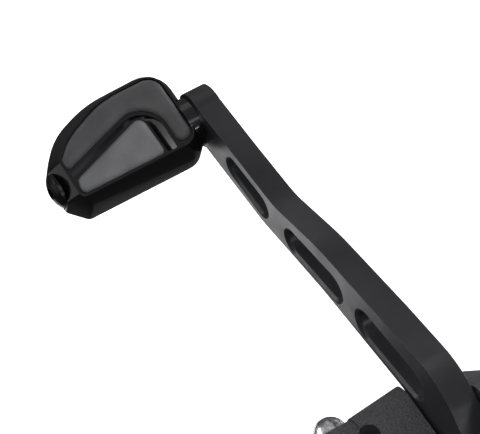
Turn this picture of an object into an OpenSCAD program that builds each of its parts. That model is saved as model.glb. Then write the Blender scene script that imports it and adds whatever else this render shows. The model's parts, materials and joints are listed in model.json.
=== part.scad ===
// Foot lever with a slotted arm, a two-pad toe piece and its cast pivot bracket.
// Millimetres. Origin: midway between the two frame bolt holes, on the mounting face.
// +X runs inboard along the pivot axis, +Y runs forward along the arm, +Z is up.

/* [Arm] */
// Distance from the pivot axis to the toe piece axis, along the arm
arm_reach = 180.4; // [174:0.2:188]
// Height of the toe piece axis above the pivot axis
arm_rise = 42.5; // [41:0.1:45]
// Thickness of the arm at its toe end
tip_t = 10.5; // [9:0.5:12]
// Thickness of the arm at its hub
hub_t = 12; // [11.5:0.5:15]
// Outer radius of the hub
hub_r = 24; // [22:0.5:25]
// Outer radius of the toe eye
eye_r = 12.3; // [11:0.1:13]
// Width of the bevel round each slot
slot_bevel = 1.4; // [0.6:0.1:1.6]

/* [Toe piece] */
// Angle of the toe piece about its bolt, against the arm
pad_tilt = 22; // [10:1:30]
// Length of the toe piece along its bolt
pad_len = 66; // [64:0.1:68]
// Height of the tread rim above the toe bolt axis
pad_top = 10; // [9.5:0.1:11]
// Depth of the toe piece below the toe bolt axis
pad_under = 8.1; // [7.9:0.1:10]
// How far the rubber stands above the metal rim
rubber_proud = 1.3; // [0.8:0.1:2]
// Depth of the channel between the two rubbers
channel_depth = 5; // [3:0.5:6]
// Radius of the toe bolt shank
pad_bolt_r = 4; // [3:0.5:5]

/* [Pivot] */
// Radius of the pivot pin
pin_r = 6; // [5:0.5:7]
// Wall of the plain bushings in the hub
bush_wall = 1.5; // [1:0.25:2.5]
// Thickness of the thrust washers
washer_t = 1; // [0.8:0.1:1.5]
// Clearance at the sliding faces and round the pin
run_gap = 0.06; // [0.03:0.01:0.1]

/* [Bracket] */
// Thickness of the inboard plate
plate_t = 14; // [12:1:16]
// Depth of the outboard cheek along the pivot axis
cheek_t = 23.4; // [22:0.2:28]
// Distance between the two frame bolt holes
bolt_spacing = 46; // [42:1:50]
// Radius of each frame bolt hole
bolt_hole_r = 4.25; // [3.25:0.25:5.25]

/* [Hidden] */
$fn = 64;
eps = 0.01;
pivot_y = 52;
pivot_z = 3;
hub_in = -plate_t - washer_t - run_gap;
hub_out = hub_in - hub_t;
cheek_in = hub_out - run_gap - washer_t;
cheek_out = cheek_in - cheek_t;
clevis_len = 24.6;
clevis_out = cheek_out - clevis_len;
peg_x = cheek_out - 3.5;
peg_z = -1;
peg_r = 5;
peg_front = 31.5;
peg_back = -24.5;
peg_washer_t = 1.6;
pad_washer_t = 1.6;
pad_boss_r = 11;
pad_face_r = 9;
pad_in = pad_washer_t + run_gap;
pad_body_in = 1;
chamfer_h = 2.8;
under_bevel = 0.8;
floor_h = pad_top - 1.4;
head_seat = pad_len - 0.3;
head_r = 7.35;
head_h = 3.9;
head_ball_r = 12.4;
bush_r = pin_r + bush_wall;
bush_flange_r = 11;
bush_len = 5.5;
bush_flange_t = 1;
tie_y = [2, 22];
tie_z = -36;
tie_r = 4;
link_y = -37;
link_z = -13;
link_r = 9;
link_bore_r = 4;
plate_back = -64;
nut_h = 6.5;
cheek_draft_top = 2.2;
cheek_draft_front = 1.1;
nut_hex_r = 8;
dome_r = 7.2;
dome_y = 39;
toe_washer_r = 8.2;
socket_af = 5;
pivot_washer_r = 9.5;
thrust_washer_r = 11.5;
nut_recess_r = 10.5;
nut_recess_depth = 5;
pivot_nut_af = 16;
pin_seat = 12;
pin_end = -1;
tie_nut_af = 13;
tie_head_r = 6.5;
tie_socket_af = 6;
tie_recess_r = 7.6;
tie_recess_depth = 9;
pocket_r = 4.5;
spot_face_r = 9.2;
clevis_gap_back = -4;
clevis_gap_front = 12;
clevis_gap_reach = 40;
peg_head_r = 8;
peg_head_h = 6;
peg_washer_r = 8.6;

function unit(v) = v / norm(v);

// Points of the round that replaces corner v, between neighbours p and q
function corner(p, v, q, r, n) =
  let (
    a = unit(p - v),
    b = unit(q - v),
    half = acos(a * b) / 2,
    c = v + unit(a + b) * r / sin(half),
    s = v + a * r / tan(half) - c,
    e = v + b * r / tan(half) - c,
    a0 = atan2(s[1], s[0]),
    turn = (atan2(e[1], e[0]) - a0 + 540) % 360 - 180
  )
  [for (i = [0:n]) c + r * [cos(a0 + turn * i / n), sin(a0 + turn * i / n)]];

// Outline with every corner [x, y, radius] rounded
function rounded(p, n = 6) =
  let (k = len(p))
  [for (i = [0:k - 1]) each corner(xy(p[(i + k - 1) % k]), xy(p[i]), xy(p[(i + 1) % k]), p[i][2], n)];

function xy(v) = [v[0], v[1]];

// Places children drawn in pivot coordinates
module at_pivot() {
  translate([0, pivot_y, pivot_z])
    children();
}

// Turns a shape drawn in the Y-Z plane into a slab from x0 to x1
module slab(x0, x1) {
  translate([x0, 0, 0])
    rotate([90, 0, 90])
      linear_extrude(height = x1 - x0)
        children();
}

// Round bar along X
module bar(r, x0, x1, y = 0, z = 0) {
  translate([x0, y, z])
    rotate([0, 90, 0])
      cylinder(r = r, h = x1 - x0);
}

// Hexagonal bar along X, given across flats
module hex_bar(af, x0, x1, y = 0, z = 0) {
  translate([x0, y, z])
    rotate([0, 90, 0])
      cylinder(r = af / sqrt(3), h = x1 - x0, $fn = 6);
}

/* ---- lever arm ---- */

module web_outline() {
  polygon(rounded([
    [arm_reach - 1, arm_rise + 11.8, 3],
    [arm_reach - 61.4, arm_rise + 1.9, 34],
    [86, 49.2, 90],
    [30, 48.6, 60],
    [2, 48, 30],
    [-19.5, 23, 22],
    [-24, 0, 10],
    [-6, -8, 4],
    [20, 6, 6],
    [21, 18.4, 10],
    [86, 24.8, 90],
    [arm_reach - 50.4, 25.4, 40],
    [arm_reach - 2, arm_rise - 8.9, 3]
  ]));
}

// Straight-sided opening between two round ends
module slot_body(y0, z0, r0, y1, z1, r1, x0, x1) {
  bar(r0, x0, x1, y0, z0);
  bar(r1, x0, x1, y1, z1);
  slab(x0, x1)
    polygon(tangent_quad([y0, z0], r0, [y1, z1], r1));
}

// Corners of the area between two circles and their outer tangents
function tangent_quad(a, ra, b, rb) =
  let (
    d = b - a,
    base = atan2(d[1], d[0]),
    phi = acos((ra - rb) / norm(d))
  )
  [
    a + ra * [cos(base + phi), sin(base + phi)],
    a + ra * [cos(base - phi), sin(base - phi)],
    b + rb * [cos(base - phi), sin(base - phi)],
    b + rb * [cos(base + phi), sin(base + phi)]
  ];

// Bevel that opens a slot at the outboard face
module slot_mouth(y0, z0, r0, y1, z1, r1) {
  hull() {
    translate([hub_out - eps, y0, z0])
      rotate([0, 90, 0])
        cylinder(r1 = r0, r2 = r0 - slot_bevel, h = slot_bevel, $fn = 32);
    translate([hub_out - eps, y1, z1])
      rotate([0, 90, 0])
        cylinder(r1 = r1, r2 = r1 - slot_bevel, h = slot_bevel, $fn = 32);
  }
}

module arm_slot(y0, z0, r0, y1, z1, r1) {
  slot_body(y0, z0, r0 - slot_bevel, y1, z1, r1 - slot_bevel, hub_out - 1, hub_in + 1);
  slot_mouth(y0, z0, r0, y1, z1, r1);
}

// Plan view of the arm: thinner towards the toe, flat on its outboard side
module arm_plan() {
  translate([0, 0, -60])
    linear_extrude(height = 140)
      polygon([
        [hub_out, -60],
        [hub_in, -60],
        [hub_in, 40],
        [hub_out + tip_t + 0.7, 90],
        [hub_out + tip_t, 150],
        [hub_out + tip_t, arm_reach + 20],
        [hub_out, arm_reach + 20]
      ]);
}

module lever_arm() {
  color([0.08, 0.08, 0.085])
    at_pivot()
      difference() {
        intersection() {
          union() {
            slab(hub_out, hub_in)
              web_outline();
            bar(eye_r, hub_out, hub_in, arm_reach, arm_rise);
            bar(hub_r, hub_out, hub_in);
            bar(link_r, hub_out, hub_in, link_y, link_z);
            slab(hub_out, hub_in)
              polygon([[0, 20], [link_y + 1, link_z + 8.9], [link_y - 4, link_z - 8], [-6, -22]]);
          }
          arm_plan();
        }
        arm_slot(150, 38.9, 6.1, 130.4, 35.2, 6.7);
        arm_slot(105, 33.6, 7.2, 76.6, 33.8, 7.9);
        arm_slot(51.8, 32, 8.8, 21.6, 29.6, 8.8);
        bar(bush_r, hub_out - 1, hub_in + 1);
        bar(bush_flange_r, hub_out - 1, hub_out + bush_flange_t);
        bar(bush_flange_r, hub_in - bush_flange_t, hub_in + 1);
        bar(pad_bolt_r, hub_out - 1, hub_in + 1, arm_reach, arm_rise);
        bar(link_bore_r, hub_out - 1, hub_in + 1, link_y, link_z);
      }
}

// Flanged plain bushing; dir 1 faces inboard, -1 faces outboard
module bushing(x_face, dir) {
  x_end = x_face - dir * bush_len;
  x_flange = x_face - dir * bush_flange_t;
  color([0.72, 0.53, 0.28])
    at_pivot()
      difference() {
        union() {
          bar(bush_r, min(x_face, x_end), max(x_face, x_end));
          bar(bush_flange_r, min(x_face, x_flange), max(x_face, x_flange));
        }
        bar(pin_r + run_gap, x_face - bush_len - 1, x_face + bush_len + 1);
      }
}

module hub_bushing_outboard() {
  bushing(hub_out, -1);
}

module hub_bushing_inboard() {
  bushing(hub_in, 1);
}

/* ---- toe piece ---- */

// Places children drawn with x inboard, y away from the hub, z normal to the tread
module at_toe(tilt) {
  translate([hub_out, pivot_y + arm_reach, pivot_z + arm_rise])
    rotate([tilt, 0, 0])
      children();
}

// Outline lists are [distance outboard, distance towards the hub, corner radius]
function toe_outer(inset) = [
  [pad_body_in + inset, 15.2 - inset, 9],
  [pad_len - 7 - inset * 0.4, 15.2 - inset, 3.5],
  [pad_len - inset, 7.7 - inset * 0.4, 3],
  [pad_len - inset, -9.3 + inset * 0.4, 7],
  [56.5 - inset * 0.6, -20 + inset * 0.8, 30],
  [38 - inset * 0.2, -27 + inset, 50],
  [pad_body_in + 1.4 + inset, -27.8 + inset, 11.5]
];

function toe_rim(inset) = [
  [4.9 + inset, 11.3 - inset, 7 - inset],
  [61.7 - inset, 11.4 - inset, 3.2 - inset],
  [61.8 - inset, -7.6 + inset * 0.4, 4.5 - inset],
  [53.8 - inset * 0.5, -15.7 + inset * 0.9, 32 - inset],
  [34 - inset * 0.2, -23.9 + inset, 46 - inset],
  [5.9 + inset, -24.2 + inset, 8 - inset]
];

band_outline = [
  [60.6, -2, 1.8],
  [14, -17.3, 12],
  [13.7, 8.3, 3],
  [6.4, 8.3, 4],
  [6.9, -23.1, 7],
  [33.8, -22.8, 42],
  [53.2, -14.6, 30],
  [60.9, -7.4, 2]
];

wedge_outline = [
  [60.6, 9.9, 2.8],
  [59, 3, 2.4],
  [21.6, -9.9, 3.6],
  [20.7, 10, 2.6]
];

channel_outline = [
  [60.2, -0.6, 0.7],
  [15.2, -15.3, 11],
  [14.9, 9.8, 1],
  [19.6, 9.8, 1],
  [20.5, -11.4, 5],
  [59.2, 1.9, 0.8]
];

module toe_shape(p) {
  mirror([1, 0, 0])
    mirror([0, 1, 0])
      polygon(rounded(p));
}

module toe_layer(p, z0, z1) {
  translate([0, 0, z0])
    linear_extrude(height = z1 - z0)
      toe_shape(p);
}

// Slope that fills the inboard leg of the channel, from its inboard wall down to its floor
module channel_ramp() {
  translate([0, 14.5, 0])
    rotate([90, 0, 0])
      linear_extrude(height = 25)
        polygon([
          [-14, 0],
          [-14, floor_h - 0.2],
          [-15.2, floor_h - 0.2],
          [-20, pad_top - channel_depth - 0.1],
          [-20, 0]
        ]);
}

module toe_body() {
  color([0.03, 0.03, 0.035])
    at_toe(pad_tilt)
      difference() {
        union() {
          toe_layer(toe_outer(0), under_bevel - pad_under, chamfer_h);
          hull() {
            toe_layer(toe_outer(0), chamfer_h - eps, chamfer_h);
            toe_layer(toe_rim(0), pad_top - eps, pad_top);
          }
          hull() {
            toe_layer(toe_outer(0), under_bevel - pad_under, under_bevel - pad_under + eps);
            toe_layer(toe_outer(under_bevel), -pad_under, eps - pad_under);
          }
          bar(pad_boss_r, -7, -pad_body_in);
        }
        toe_layer(toe_rim(0.8), floor_h, pad_top + 2);
        difference() {
          toe_layer(channel_outline, pad_top - channel_depth, pad_top);
          channel_ramp();
        }
        bar(pad_bolt_r + run_gap, -pad_len - 5, 1);
        bar(head_r + 0.35, -pad_len - 5, -head_seat);
        bar(pad_face_r, -pad_in, 1);
      }
}

module toe_rubber_band() {
  color([0.16, 0.16, 0.165])
    at_toe(pad_tilt)
      toe_layer(band_outline, floor_h, pad_top + rubber_proud);
}

module toe_rubber_wedge() {
  color([0.16, 0.16, 0.165])
    at_toe(pad_tilt)
      toe_layer(wedge_outline, floor_h, pad_top + rubber_proud);
}

module toe_washer() {
  color([0.8, 0.8, 0.82])
    at_toe(0)
      difference() {
        bar(toe_washer_r, -pad_washer_t, 0);
        bar(pad_bolt_r + 0.1, -pad_washer_t - 1, 1);
      }
}

module toe_bolt() {
  color([0.04, 0.04, 0.045])
    at_toe(0)
      difference() {
        union() {
          bar(pad_bolt_r, -head_seat - 1, tip_t - 0.5);
          intersection() {
            bar(head_r, -head_seat - run_gap - head_h, -head_seat - run_gap);
            translate([head_ball_r - head_seat - run_gap - head_h, 0, 0])
              sphere(r = head_ball_r);
          }
        }
        hex_bar(socket_af, -head_seat - 6, -head_seat - 0.6);
      }
}

/* ---- bracket ---- */

module plate_outline() {
  polygon(rounded([
    [-2.5, 42, 6],
    [27, 10.8, 8],
    [35, -20, 12],
    [30, -46, 9],
    [-20, -46, 14],
    [plate_back, -40, 9],
    [plate_back, 33, 9],
    [-36, 43.2, 16]
  ]));
}

// Block whose top slopes down towards the frame
module plate_slope() {
  rotate([90, 0, 0])
    translate([0, 0, -60])
      linear_extrude(height = 140)
        polygon([[-60, -60], [0, -60], [0, 35.5], [-plate_t, 43], [-60, 43]]);
}

module inner_bracket() {
  color([0.07, 0.07, 0.07])
    difference() {
      at_pivot()
        intersection() {
          union() {
            slab(-plate_t, 0)
              plate_outline();
            slab(cheek_in, -plate_t + eps)
              polygon(rounded([[-9, -27.5, 3], [30, -27.5, 3], [30, -46, 8], [-9, -46, 8]]));
          }
          plate_slope();
        }
      at_pivot() {
        bar(pin_r, -plate_t - 1, 1);
        bar(nut_recess_r, -nut_recess_depth, 1);
        for (y = tie_y) {
          bar(tie_r + 0.1, cheek_in - 1, 1, y, tie_z);
          hex_bar(tie_nut_af + 0.4, -nut_h - 0.5, 1, y, tie_z);
        }
      }
      bar(bolt_hole_r, -plate_t - 1, 1, 0, bolt_spacing / 2);
      bar(bolt_hole_r, -plate_t - 1, 1, 0, -bolt_spacing / 2);
    }
}

// Outline of the cheek; grow moves its top edge up and its front edge forward
function cheek_outline(grow_top, grow_front = 0) = [
  [peg_front + grow_front, 21.5 + grow_top, 8],
  [peg_front, -20, 10],
  [30, -46, 8],
  [-9, -46, 10],
  [peg_back, -20, 10],
  [peg_back, 7 + grow_top, 7]
];

// The cheek's main block is larger at the arm, by the draft of its casting
module cheek_block() {
  hull() {
    slab(cheek_out, cheek_out + eps)
      polygon(rounded(cheek_outline(0)));
    slab(cheek_in - eps, cheek_in)
      polygon(rounded(cheek_outline(cheek_draft_top, cheek_draft_front)));
  }
}

module outer_cheek() {
  color([0.07, 0.07, 0.07])
    at_pivot()
      difference() {
        union() {
          cheek_block();
          intersection() {
            slab(clevis_out, cheek_out + eps)
              polygon(rounded(cheek_outline(-1)));
            translate([0, 40, 0])
              rotate([90, 0, 0])
                linear_extrude(height = 80)
                  polygon(rounded([
                    [clevis_out, -17, 8],
                    [cheek_out + 6, -17, 1],
                    [cheek_out + 6, 30, 1],
                    [clevis_out, 22, 14]
                  ]));
          }
        }
        slab(clevis_out - 1, cheek_out + 4)
          polygon([
            [clevis_gap_back, -clevis_gap_reach],
            [clevis_gap_front, -clevis_gap_reach],
            [clevis_gap_front, clevis_gap_reach],
            [clevis_gap_back, clevis_gap_reach]
          ]);
        bar(pin_r, cheek_out + pin_seat, cheek_in + 1);
        translate([cheek_in - 22, 17, 9])
          cylinder(r = pocket_r, h = 20);
        translate([peg_x, peg_front + 5, peg_z])
          rotate([90, 0, 0])
            cylinder(r = spot_face_r, h = 5);
        for (y = tie_y) {
          bar(tie_r + 0.1, cheek_out - 1, cheek_in + 1, y, tie_z);
          bar(tie_recess_r, cheek_out - 1, cheek_out + tie_recess_depth, y, tie_z);
        }
        translate([peg_x, 50, peg_z])
          rotate([90, 0, 0])
            cylinder(r = peg_r + 0.1, h = 100);
      }
}

module pivot_pin() {
  color([0.6, 0.6, 0.62])
    at_pivot()
      bar(pin_r, cheek_out + pin_seat, pin_end);
}

module pivot_washer() {
  color([0.65, 0.65, 0.66])
    at_pivot()
      difference() {
        bar(pivot_washer_r, -nut_recess_depth, -4);
        bar(pin_r, -6, 0);
      }
}

module pivot_nut() {
  color([0.6, 0.6, 0.62])
    at_pivot()
      difference() {
        hex_bar(pivot_nut_af, -4, -0.6);
        bar(pin_r, -6, 1);
      }
}

module thrust_washer(x0) {
  color([0.72, 0.72, 0.7])
    at_pivot()
      difference() {
        bar(thrust_washer_r, x0, x0 + washer_t);
        bar(pin_r, x0 - 1, x0 + washer_t + 1);
      }
}

module thrust_washer_outboard() {
  thrust_washer(cheek_in);
}

module thrust_washer_inboard() {
  thrust_washer(-plate_t - washer_t);
}

module tie_bolt(y) {
  color([0.1, 0.1, 0.1])
    at_pivot()
      difference() {
        union() {
          bar(tie_r, cheek_out + tie_recess_depth, -0.5, y, tie_z);
          bar(tie_head_r, cheek_out + 1.5, cheek_out + tie_recess_depth, y, tie_z);
        }
        hex_bar(tie_socket_af, cheek_out, cheek_out + 5.5, y, tie_z);
      }
}

module tie_bolt_front() {
  tie_bolt(tie_y[1]);
}

module tie_bolt_rear() {
  tie_bolt(tie_y[0]);
}

module tie_nut(y) {
  color([0.6, 0.6, 0.62])
    at_pivot()
      difference() {
        hex_bar(tie_nut_af, -nut_h - 0.5, -0.5, y, tie_z);
        bar(tie_r, -nut_h - 1, 1, y, tie_z);
      }
}

module tie_nut_front() {
  tie_nut(tie_y[1]);
}

module tie_nut_rear() {
  tie_nut(tie_y[0]);
}

// Places children drawn with z forward along the peg bolt
module at_peg() {
  at_pivot()
    translate([peg_x, 0, peg_z])
      rotate([-90, 0, 0])
        children();
}

module peg_bolt() {
  color([0.6, 0.6, 0.62])
    at_peg()
      union() {
        translate([0, 0, peg_back])
          cylinder(r = peg_r, h = peg_front + 8 - peg_back);
        translate([0, 0, peg_back - peg_head_h])
          cylinder(r = peg_head_r, h = peg_head_h);
      }
}

module peg_bolt_washer() {
  color([0.7, 0.7, 0.7])
    at_peg()
      difference() {
        translate([0, 0, peg_front])
          cylinder(r = peg_washer_r, h = peg_washer_t);
        translate([0, 0, peg_front - 1])
          cylinder(r = peg_r, h = 4);
      }
}

module peg_dome_nut() {
  color([0.78, 0.78, 0.8])
    at_peg()
      difference() {
        union() {
          translate([0, 0, peg_front + peg_washer_t])
            cylinder(r = nut_hex_r, h = 4.4, $fn = 6);
          translate([0, 0, peg_front + peg_washer_t])
            cylinder(r = dome_r, h = dome_y - peg_front - peg_washer_t);
          intersection() {
            translate([0, 0, dome_y])
              sphere(r = dome_r);
            translate([0, 0, dome_y])
              cylinder(r = 10, h = 12);
          }
        }
        translate([0, 0, peg_front - 1])
          cylinder(r = peg_r, h = 9);
      }
}

lever_arm();
hub_bushing_outboard();
hub_bushing_inboard();
toe_bolt();
toe_washer();
toe_body();
toe_rubber_band();
toe_rubber_wedge();
inner_bracket();
outer_cheek();
pivot_pin();
pivot_washer();
pivot_nut();
thrust_washer_outboard();
thrust_washer_inboard();
tie_bolt_front();
tie_bolt_rear();
tie_nut_front();
tie_nut_rear();
peg_bolt();
peg_bolt_washer();
peg_dome_nut();
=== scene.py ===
"""Foot lever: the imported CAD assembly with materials, moulded rubber pads and studio light."""

import json
import math

import bmesh
import bpy
import mathutils
import numpy as np
from mathutils import Matrix, Vector


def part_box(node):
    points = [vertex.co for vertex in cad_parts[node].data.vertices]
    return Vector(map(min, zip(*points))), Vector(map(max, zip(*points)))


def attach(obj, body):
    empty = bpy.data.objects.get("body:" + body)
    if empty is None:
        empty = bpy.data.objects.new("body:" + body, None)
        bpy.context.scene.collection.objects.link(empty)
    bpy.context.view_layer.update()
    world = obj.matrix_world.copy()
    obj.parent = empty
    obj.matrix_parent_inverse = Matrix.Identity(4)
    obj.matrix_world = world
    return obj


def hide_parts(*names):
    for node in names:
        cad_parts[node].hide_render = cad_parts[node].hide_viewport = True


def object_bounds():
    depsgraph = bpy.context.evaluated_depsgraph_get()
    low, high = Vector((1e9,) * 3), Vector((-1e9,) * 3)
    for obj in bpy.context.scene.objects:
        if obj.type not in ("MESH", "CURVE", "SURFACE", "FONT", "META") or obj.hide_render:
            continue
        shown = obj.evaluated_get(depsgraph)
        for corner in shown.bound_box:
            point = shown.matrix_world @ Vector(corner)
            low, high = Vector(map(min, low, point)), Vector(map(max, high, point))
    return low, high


MM = 0.001
LENS_MM = 210.0
SENSOR_MM = 36.0
CAMERA_DISTANCE = 1.167
CAMERA_AZIMUTH = math.radians(-26.4)
CAMERA_ELEVATION = math.radians(47.5)
CAMERA_ROLL = math.radians(-7.5)
LOOK_AT = Vector((-0.02856, 0.19895, 0.01662))
FLOOR_DROP = 0.16

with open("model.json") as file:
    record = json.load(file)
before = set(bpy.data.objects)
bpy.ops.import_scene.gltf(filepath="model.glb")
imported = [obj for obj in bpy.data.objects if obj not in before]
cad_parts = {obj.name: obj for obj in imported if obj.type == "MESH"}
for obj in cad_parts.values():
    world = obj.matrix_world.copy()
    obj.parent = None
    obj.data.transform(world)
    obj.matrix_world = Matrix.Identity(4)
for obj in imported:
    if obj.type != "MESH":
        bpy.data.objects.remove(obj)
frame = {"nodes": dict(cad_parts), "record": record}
cad_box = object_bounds()
nodes = frame["nodes"]


# ---- camera ----

def camera():
    """Long-lens camera with LOOK_AT in the middle of its picture; returns the direction towards it."""
    a, e, r = CAMERA_AZIMUTH, CAMERA_ELEVATION, CAMERA_ROLL
    back = Vector((math.sin(a) * math.cos(e), -math.cos(a) * math.cos(e), math.sin(e)))
    right = Vector((math.cos(a), math.sin(a), 0.0))
    up = back.cross(right)
    side = math.cos(r) * right + math.sin(r) * up
    top = -math.sin(r) * right + math.cos(r) * up
    place = LOOK_AT + back * CAMERA_DISTANCE
    data = bpy.data.cameras.new("camera")
    data.lens = LENS_MM
    data.sensor_width = SENSOR_MM
    data.clip_end = 20.0
    cam = bpy.data.objects.new("camera", data)
    m = Matrix.Identity(4)
    for i, axis in enumerate((side, top, back, place)):
        for k in range(3):
            m[k][i] = axis[k]
    cam.matrix_world = m
    bpy.context.scene.collection.objects.link(cam)
    bpy.context.scene.camera = cam
    return back


TO_CAMERA = camera()


# ---- material helpers ----

CELL_SMOOTHNESS = 0.4
NOISE_LOW = 0.3
NOISE_HIGH = 0.7


class Paint:
    """A Principled material and the small node graph that varies it over the surface."""

    def __init__(self, name, color, rough, metal=0.0, coat=0.0, coat_rough=0.1, spec=0.5):
        self.material = bpy.data.materials.new(name)
        self.material.use_nodes = True
        self.tree = self.material.node_tree
        self.shader = self.tree.nodes["Principled BSDF"]
        self.color = color
        s = self.shader.inputs
        s["Base Color"].default_value = (*color, 1.0)
        s["Roughness"].default_value = rough
        s["Metallic"].default_value = metal
        s["Coat Weight"].default_value = coat
        s["Coat Roughness"].default_value = coat_rough
        s["Specular IOR Level"].default_value = spec
        self.space = self.tree.nodes.new("ShaderNodeTexCoord").outputs["Object"]
        self.normal = None

    def node(self, kind, **inputs):
        n = self.tree.nodes.new(kind)
        for key, value in inputs.items():
            n.inputs[key.replace("_", " ")].default_value = value
        return n

    def noise(self, size_mm, detail=4.0):
        """Noise whose features are about size_mm across."""
        n = self.node("ShaderNodeTexNoise", Scale=1.0 / (size_mm * MM), Detail=detail)
        self.tree.links.new(self.space, n.inputs["Vector"])
        return n.outputs["Fac"]

    def cells(self, size_mm):
        """Soft-edged cells about size_mm across."""
        n = self.node("ShaderNodeTexVoronoi", Scale=1.0 / (size_mm * MM))
        n.feature = "SMOOTH_F1"
        n.inputs["Smoothness"].default_value = CELL_SMOOTHNESS
        self.tree.links.new(self.space, n.inputs["Vector"])
        return n.outputs["Distance"]

    def spread(self, value, low, high):
        """Maps the middle of a noise's range on to low..high."""
        n = self.node("ShaderNodeMapRange", From_Min=NOISE_LOW, From_Max=NOISE_HIGH, To_Min=low, To_Max=high)
        self.tree.links.new(value, n.inputs["Value"])
        return n.outputs["Result"]

    def vary_rough(self, value, low, high):
        self.tree.links.new(self.spread(value, low, high), self.shader.inputs["Roughness"])

    def vary_color(self, value, other):
        mix = self.tree.nodes.new("ShaderNodeMix")
        mix.data_type = "RGBA"
        mix.inputs[6].default_value = (*self.color, 1.0)
        mix.inputs[7].default_value = (*other, 1.0)
        self.tree.links.new(self.spread(value, 0.0, 1.0), mix.inputs[0])
        self.tree.links.new(mix.outputs[2], self.shader.inputs["Base Color"])

    def bump(self, value, depth_mm):
        n = self.node("ShaderNodeBump", Strength=1.0, Distance=depth_mm * MM)
        self.tree.links.new(value, n.inputs["Height"])
        if self.normal is not None:
            self.tree.links.new(self.normal, n.inputs["Normal"])
        self.normal = n.outputs["Normal"]
        self.tree.links.new(self.normal, self.shader.inputs["Normal"])


def satin_black():
    p = Paint("satin_black_arm", (0.036, 0.036, 0.041), 0.34, metal=0.35)
    p.vary_rough(p.noise(14), 0.28, 0.40)
    p.vary_color(p.noise(30), (0.050, 0.050, 0.056))
    p.bump(p.noise(0.35, 2), 0.006)
    return p.material


def gloss_black():
    p = Paint("gloss_black_metal", (0.006, 0.006, 0.007), 0.16, metal=0.1, coat=0.6, coat_rough=0.06)
    p.vary_rough(p.noise(9), 0.12, 0.22)
    p.bump(p.noise(2.5, 2), 0.004)
    return p.material


def tread_rubber(name="tread_rubber", shade=0.080):
    p = Paint(name, (shade, shade, shade * 1.04), 0.58, spec=0.4)
    p.vary_rough(p.noise(5), 0.48, 0.66)
    p.vary_color(p.noise(11), (shade * 1.3, shade * 1.3, shade * 1.36))
    p.bump(p.noise(0.28, 3), 0.03)
    return p.material


def wrinkle_casting():
    p = Paint("textured_black_casting", (0.036, 0.036, 0.039), 0.50, spec=0.5)
    p.vary_rough(p.noise(3), 0.40, 0.62)
    p.vary_color(p.noise(0.7), (0.085, 0.085, 0.090))
    p.bump(p.cells(1.0), 0.30)
    p.bump(p.noise(0.5, 4), 0.16)
    return p.material


def bronze():
    p = Paint("bushing_bronze", (0.48, 0.30, 0.13), 0.34, metal=1.0)
    p.vary_rough(p.noise(2), 0.26, 0.46)
    p.vary_color(p.noise(4), (0.36, 0.22, 0.10))
    p.bump(p.noise(0.2, 2), 0.01)
    return p.material


def bright_steel():
    p = Paint("bright_steel", (0.58, 0.58, 0.60), 0.28, metal=1.0)
    p.vary_rough(p.noise(3), 0.20, 0.38)
    p.vary_color(p.noise(6), (0.50, 0.50, 0.52))
    p.bump(p.noise(0.15, 2), 0.004)
    return p.material


def black_steel():
    p = Paint("black_oxide_steel", (0.014, 0.014, 0.016), 0.24, metal=0.5)
    p.vary_rough(p.noise(3), 0.18, 0.34)
    p.bump(p.noise(0.3, 2), 0.006)
    return p.material


def zinc():
    p = Paint("zinc_plated_steel", (0.90, 0.90, 0.92), 0.24, metal=1.0)
    p.vary_rough(p.noise(1.6), 0.14, 0.42)
    p.vary_color(p.noise(2.2), (0.70, 0.70, 0.74))
    p.bump(p.cells(1.3), 0.03)
    return p.material


FINISH = {
    "satin_black_arm": satin_black(),
    "gloss_black_metal": gloss_black(),
    "tread_rubber": tread_rubber(),
    "textured_black_casting": wrinkle_casting(),
    "bushing_bronze": bronze(),
    "bright_steel": bright_steel(),
    "black_oxide_steel": black_steel(),
    "zinc_plated_steel": zinc(),
}


# ---- finish of the CAD nodes ----

# Width asked of each round. The overlap clamp cuts it to almost nothing on meshes with short edges,
# which the castings and the toe piece have; unclamped, the toe piece's round crosses itself.
EDGE_MM = {
    "lever_arm": 0.25,
    "toe_body": 0.30,
    "inner_bracket": 0.9,
    "outer_cheek": 0.9,
    "toe_bolt": 0.3,
    "toe_washer": 0.2,
    "peg_bolt": 0.4,
    "peg_bolt_washer": 0.25,
    "peg_dome_nut": 0.2,
}
SMALL_EDGE_MM = 0.2
# Nodes whose round is left unclamped
WIDE_EDGES = ("lever_arm",)
# Nodes whose flat faces are merged first, within this angle, so that the round doesn't cross itself
FLAT_DEG = {"lever_arm": 1.0, "outer_cheek": 0.3}
WELD_MM = 0.001
EDGE_SEGMENTS = 3
SHARP_DEG = 32
FACE_WEIGHT = 80


def dress(obj, edge_mm, clamp, flat_deg):
    """Joins shared points, merges flat faces where asked, rounds sharp edges as far as the clamp
    allows, and evens out the shading."""
    for f in obj.data.polygons:
        f.use_smooth = True
    weld = obj.modifiers.new("weld", "WELD")
    weld.merge_threshold = WELD_MM * MM
    if flat_deg is not None:
        flat = obj.modifiers.new("flat", "DECIMATE")
        flat.decimate_type = "DISSOLVE"
        flat.angle_limit = math.radians(flat_deg)
    bevel = obj.modifiers.new("edge", "BEVEL")
    bevel.width = edge_mm * MM
    bevel.segments = EDGE_SEGMENTS
    bevel.limit_method = "ANGLE"
    bevel.angle_limit = math.radians(SHARP_DEG)
    bevel.miter_outer = "MITER_ARC"
    bevel.use_clamp_overlap = clamp
    even = obj.modifiers.new("even", "WEIGHTED_NORMAL")
    even.keep_sharp = False
    even.weight = FACE_WEIGHT


slots = {s["node"]: s["material_slot"] for s in frame["record"]["subparts"]}
for name, obj in nodes.items():
    obj.data.materials.clear()
    obj.data.materials.append(FINISH[slots[name]])
    dress(obj, EDGE_MM.get(name, SMALL_EDGE_MM), name not in WIDE_EDGES, FLAT_DEG.get(name))


# ---- moulded rubber pads ----

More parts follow.
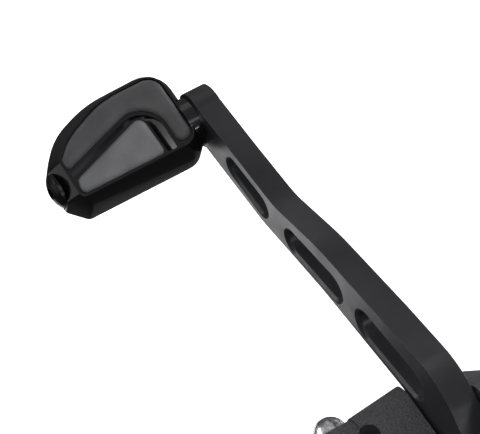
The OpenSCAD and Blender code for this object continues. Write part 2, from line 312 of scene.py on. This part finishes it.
# The toe bolt's axis at the arm's outboard face. Outline corners are millimetres outboard, millimetres
# towards the hub, and corner radius.
TOE_AXIS = Vector((-0.02706, 0.2324, 0.0455))
TOE_TILT = math.radians(22.0)
TREAD_TOP_MM = 11.3
TREAD_FLOOR_MM = 8.6
PILLOW_MM = 3.2
SHOULDER_MM = 9.1
OUTLINE_STEP_MM = 0.45
GRID_STEP_MM = 0.55
RIM_CLEAR_MM = 0.3
MERGE_MM = 1e-6
BAND = [
    (60.6, -2, 1.8), (14, -17.3, 12), (13.7, 8.3, 3), (6.4, 8.3, 4),
    (6.9, -23.1, 7), (33.8, -22.8, 42), (53.2, -14.6, 30), (60.9, -7.4, 2),
]
WEDGE = [(60.6, 9.9, 2.8), (59, 3, 2.4), (21.6, -9.9, 3.6), (20.7, 10, 2.6)]


def rounded(corners):
    """Points, about OUTLINE_STEP_MM apart, of a polygon whose corners (x, y, radius) are rounded."""
    points = []
    count = len(corners)
    for i, (x, y, radius) in enumerate(corners):
        v = Vector((x, y))
        before = (Vector(corners[i - 1][:2]) - v).normalized()
        after = (Vector(corners[(i + 1) % count][:2]) - v).normalized()
        half = math.acos(max(-1.0, min(1.0, before.dot(after)))) / 2
        centre = v + (before + after).normalized() * radius / math.sin(half)
        a0 = math.atan2(*(v + before * radius / math.tan(half) - centre).yx)
        a1 = math.atan2(*(v + after * radius / math.tan(half) - centre).yx)
        turn = (a1 - a0 + 3 * math.pi) % (2 * math.pi) - math.pi
        parts = max(3, round(abs(turn) * radius / OUTLINE_STEP_MM))
        arc = [centre + radius * Vector((math.cos(a0 + turn * k / parts), math.sin(a0 + turn * k / parts)))
               for k in range(parts + 1)]
        if points:
            points += between(points[-1], arc[0])
        points += arc
    return points + between(points[-1], points[0])


def between(p, q):
    """Evenly spaced points strictly between two points."""
    parts = max(1, round((q - p).length / OUTLINE_STEP_MM))
    return [p.lerp(q, k / parts) for k in range(1, parts)]


def edge_distance(points, outline):
    """Distance of each point from a closed outline, and whether the point is inside it."""
    p = np.array(points)[:, None, :]
    a = np.array(outline)[None]
    b = np.roll(a, -1, axis=1)
    d = b - a
    t = np.clip(((p - a) * d).sum(2) / (d ** 2).sum(2), 0, 1)
    far = np.sqrt((((a + t[..., None] * d) - p) ** 2).sum(2)).min(1)
    crosses = (a[..., 1] > p[..., 1]) != (b[..., 1] > p[..., 1])
    at = a[..., 0] + (p[..., 1] - a[..., 1]) * d[..., 0] / np.where(d[..., 1] == 0, 1e-9, d[..., 1])
    inside = (crosses & (p[..., 0] < at)).sum(1) % 2 == 1
    return far, inside


def toe_point(u, v, h):
    """The point of the tilted toe piece that is u mm outboard, v mm towards the hub and h mm above
    the bolt axis."""
    c, s = math.cos(TOE_TILT), math.sin(TOE_TILT)
    return TOE_AXIS + Vector((-u, -v * c - h * s, -v * s + h * c)) * MM


def pillow(name, corners, crown_mm):
    """A rubber pad with a soft shoulder that rises from its outline to a slightly crowned top."""
    outline = [tuple(p) for p in rounded(corners)]
    low, high = np.min(outline, 0), np.max(outline, 0)
    across = np.arange(low[0], high[0], GRID_STEP_MM)
    along = np.arange(low[1], high[1], GRID_STEP_MM)
    grid = [(x, y) for x in across for y in along]
    far, inside = edge_distance(grid, outline)
    middle = [g for g, d, ok in zip(grid, far, inside) if ok and d > RIM_CLEAR_MM]
    flat = [Vector(p) for p in outline + middle]
    ring = [(i, (i + 1) % len(outline)) for i in range(len(outline))]
    points, _, faces = mathutils.geometry.delaunay_2d_cdt(flat, ring, [], 1, MERGE_MM)[:3]
    depth = edge_distance([tuple(p) for p in points], outline)[0]
    reach = depth.max()
    verts = []
    for p, d in zip(points, depth):
        s = 1 - min(d / PILLOW_MM, 1)
        rise = (TREAD_TOP_MM - crown_mm - SHOULDER_MM) * math.sqrt(1 - s * s)
        verts.append(toe_point(p.x, p.y, SHOULDER_MM + rise + crown_mm * math.sin(d / reach * math.pi / 2)))
    bm = bmesh.new()
    made = [bm.verts.new(v) for v in verts]
    for f in faces:
        bm.faces.new([made[i] for i in f])
    rim = [e for e in bm.edges if e.is_boundary]
    wall = bmesh.ops.extrude_edge_only(bm, edges=rim)["geom"]
    down = toe_point(0, 0, TREAD_FLOOR_MM) - toe_point(0, 0, SHOULDER_MM)
    foot = [g for g in wall if isinstance(g, bmesh.types.BMVert)]
    bmesh.ops.translate(bm, vec=down, verts=foot)
    open_edges = [g for g in wall if isinstance(g, bmesh.types.BMEdge) and g.is_boundary]
    bmesh.ops.contextual_create(bm, geom=open_edges)
    bmesh.ops.recalc_face_normals(bm, faces=bm.faces)
    mesh = bpy.data.meshes.new(name)
    bm.to_mesh(mesh)
    bm.free()
    for f in mesh.polygons:
        f.use_smooth = True
    obj = bpy.data.objects.new(name, mesh)
    bpy.context.scene.collection.objects.link(obj)
    return obj


PADS = (
    ("toe_rubber_band", BAND, 0.35, FINISH["tread_rubber"]),
    # The wedge's rubber is painted lighter than the band's (0.17 against 0.080): a painted sheen for the
    # light the wedge catches, not wear.
    ("toe_rubber_wedge", WEDGE, 0.4, tread_rubber("tread_rubber_painted_sheen", 0.17)),
)
for name, corners, crown, rubber in PADS:
    pad = pillow(name.replace("toe_", "moulded_"), corners, crown)
    pad.data.materials.append(rubber)
    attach(pad, "toe_piece")
    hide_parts(name)


# ---- floor and light ----

FLOOR_SIZE = 4.0
FLOOR_GLOW = 0.85
SKY_LOW = 0.04
SKY_HIGH = 0.24
HORIZON_START = -0.3
HORIZON_END = 0.9


def floor():
    """Plain pale floor, bright enough to stay even; it isn't mirrored in the object."""
    s = FLOOR_SIZE
    z = cad_box[0][2] - FLOOR_DROP
    mesh = bpy.data.meshes.new("floor")
    mesh.from_pydata([(-s, -s, z), (s, -s, z), (s, s, z), (-s, s, z)], [], [(0, 1, 2, 3)])
    obj = bpy.data.objects.new("floor", mesh)
    pale = Paint("floor", (0.9, 0.9, 0.9), 0.9, spec=0.1).material
    shader = pale.node_tree.nodes["Principled BSDF"]
    shader.inputs["Emission Color"].default_value = (1, 1, 1, 1)
    shader.inputs["Emission Strength"].default_value = FLOOR_GLOW
    mesh.materials.append(pale)
    bpy.context.scene.collection.objects.link(obj)
    obj.visible_glossy = False
    obj.visible_diffuse = False


def softbox(name, target, direction, distance, power, width, height, mirrored=True):
    """Rectangular light that faces target from a direction. The camera doesn't see it, nor do gloss and
    metal where mirrored is False."""
    data = bpy.data.lights.new(name, "AREA")
    data.shape = "RECTANGLE"
    data.size = width
    data.size_y = height
    data.energy = power
    obj = bpy.data.objects.new(name, data)
    aim = Vector(direction).normalized()
    obj.location = Vector(target) + aim * distance
    obj.rotation_euler = aim.to_track_quat("Z", "Y").to_euler()
    obj.visible_camera = False
    obj.visible_glossy = mirrored
    bpy.context.scene.collection.objects.link(obj)


def studio():
    """Dim surroundings that are lighter overhead, so that black finishes stay black."""
    world = bpy.data.worlds.new("studio")
    world.use_nodes = True
    tree = world.node_tree
    back = tree.nodes["Background"]
    back.inputs["Color"].default_value = (1, 1, 1, 1)
    where = tree.nodes.new("ShaderNodeTexCoord")
    parts = tree.nodes.new("ShaderNodeSeparateXYZ")
    ramp = tree.nodes.new("ShaderNodeMapRange")
    ramp.inputs["From Min"].default_value = HORIZON_START
    ramp.inputs["From Max"].default_value = HORIZON_END
    ramp.inputs["To Min"].default_value = SKY_LOW
    ramp.inputs["To Max"].default_value = SKY_HIGH
    tree.links.new(where.outputs["Generated"], parts.inputs[0])
    tree.links.new(parts.outputs["Z"], ramp.inputs["Value"])
    tree.links.new(ramp.outputs["Result"], back.inputs["Strength"])
    bpy.context.scene.world = world


floor()
studio()
bpy.context.scene.view_settings.view_transform = "Standard"
MID_ARM = (-0.027, 0.165, 0.042)
TOE = (-0.060, 0.235, 0.050)
HUB = (-0.040, 0.070, 0.020)
EYE = (-0.022, 0.232, 0.058)
NUT = [(low + high) / 2 for low, high in zip(*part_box("peg_dome_nut"))]
# Target, direction, distance in metres, power in watts, width and height in metres. slotted_face,
# upper_edges, toe_hub_side and eye_glow stand where those surfaces mirror the camera.
softbox("slotted_face", MID_ARM, (-0.30, 0.605, -0.737), 0.24, 0.055, 0.12, 0.12)
softbox("upper_edges", MID_ARM, (-0.74, 0.605, 0.30), 0.90, 1.3, 0.45, 0.20)
softbox("rear_wash", HUB, TO_CAMERA, 1.30, 2.2, 0.7, 0.6)
softbox("toe_edges", TOE, (-0.68, 0.01, 0.73), 1.00, 0.45, 0.14, 0.30)
softbox("toe_shoulders", TOE, (0.30, -0.90, 0.20), 1.20, 0.80, 0.12, 0.30)
softbox("toe_end_facet", TOE, (-0.94, 0.33, -0.07), 0.50, 0.10, 0.28, 0.28)
softbox("toe_hub_side", TOE, (0.30, 0.077, -0.951), 0.18, 0.010, 0.20, 0.20)
softbox("eye_glow", EYE, (0.30, 0.605, 0.737), 0.15, 0.008, 0.08, 0.08)
softbox("nut_glint", NUT, (0.03, 0.05, 0.99), 0.20, 0.070, 0.14, 0.14)
# inboard_fill and front_fill light the sides that face away from the main camera
softbox("inboard_fill", MID_ARM, (1.0, 0.10, 0.05), 1.00, 5.0, 0.60, 0.60)
softbox("front_fill", MID_ARM, (0.10, 1.0, 0.10), 1.00, 7.0, 0.60, 0.60, mirrored=False)
softbox("top_wash", TOE, (0.75, -0.2, 0.60), 1.20, 1.5, 0.5, 0.5)
